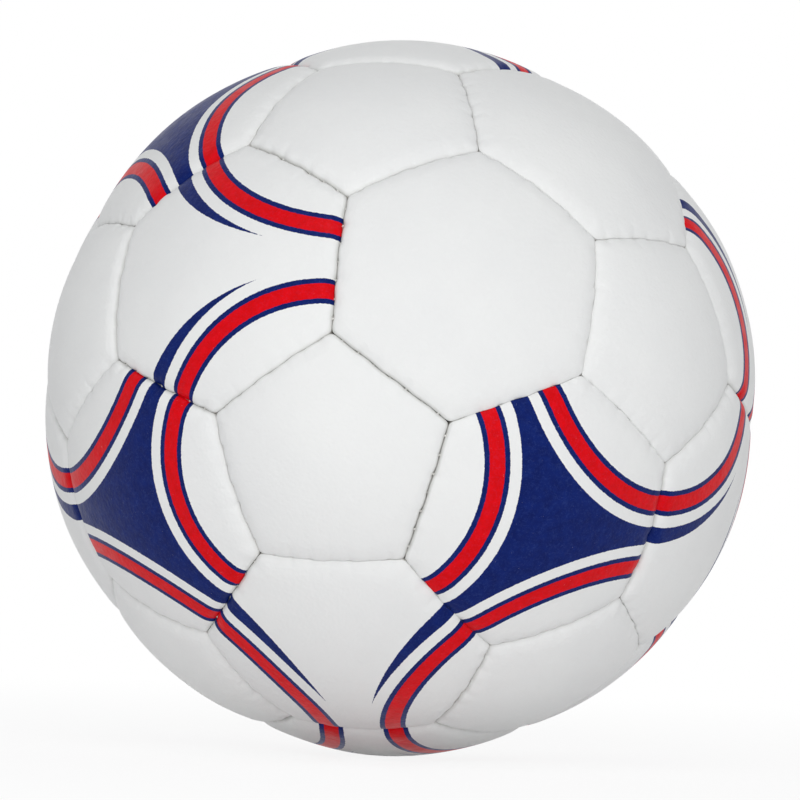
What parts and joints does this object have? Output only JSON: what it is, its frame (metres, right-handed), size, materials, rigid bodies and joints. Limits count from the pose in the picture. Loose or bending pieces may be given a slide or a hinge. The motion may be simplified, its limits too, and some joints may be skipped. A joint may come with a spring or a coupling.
{
  "type": "handball",
  "caption": "Hand-stitched inflatable handball of pentagon and hexagon panels, with linings, seam threads, rubber bladder and needle valve.",
  "frame": {"origin": "the ball's centre", "axes": "+Z points out of the valve, along the axis of the valve panel; the picture looks along +Y"},
  "size_m": [0.173, 0.1732, 0.1749],
  "materials": {
    "cover_white": "satin synthetic leather, fine pebble grain",
    "cover_printed": "satin synthetic leather with navy and red print",
    "lining_fabric": "woven cotton",
    "seam_thread": "waxed",
    "bladder_rubber": "matte",
    "patch_fabric": "woven cotton",
    "valve_rubber": "satin",
    "insert_rubber": "satin"
  },
  "bodies": {
    "root": {"pentagon_panel_01": "cover_white", "pentagon_panel_02": "cover_white", "pentagon_panel_03": "cover_white", "pentagon_panel_04": "cover_white", "pentagon_panel_05": "cover_white", "pentagon_panel_06": "cover_white", "pentagon_panel_07": "cover_white", "pentagon_panel_08": "cover_white", "pentagon_panel_09": "cover_white", "pentagon_panel_10": "cover_white", "pentagon_panel_11": "cover_white", "pentagon_panel_12": "cover_white", "hexagon_panel_01": "cover_printed", "hexagon_panel_02": "cover_printed", "hexagon_panel_03": "cover_printed", "hexagon_panel_04": "cover_printed", "hexagon_panel_05": "cover_printed", "hexagon_panel_06": "cover_printed", "hexagon_panel_07": "cover_printed", "hexagon_panel_08": "cover_printed", "hexagon_panel_09": "cover_printed", "hexagon_panel_10": "cover_printed", "hexagon_panel_11": "cover_printed", "hexagon_panel_12": "cover_printed", "hexagon_panel_13": "cover_printed", "hexagon_panel_14": "cover_printed", "hexagon_panel_15": "cover_printed", "hexagon_panel_16": "cover_printed", "hexagon_panel_17": "cover_printed", "hexagon_panel_18": "cover_printed", "hexagon_panel_19": "cover_printed", "valve_panel": "cover_printed", "pentagon_linings": "lining_fabric", "hexagon_linings": "lining_fabric", "hexagon_seam_threads": "seam_thread", "pentagon_seam_threads": "seam_thread", "bladder": "bladder_rubber", "valve_patch": "patch_fabric", "valve_housing": "valve_rubber", "valve_insert": "insert_rubber"}
  },
  "joints": []
}
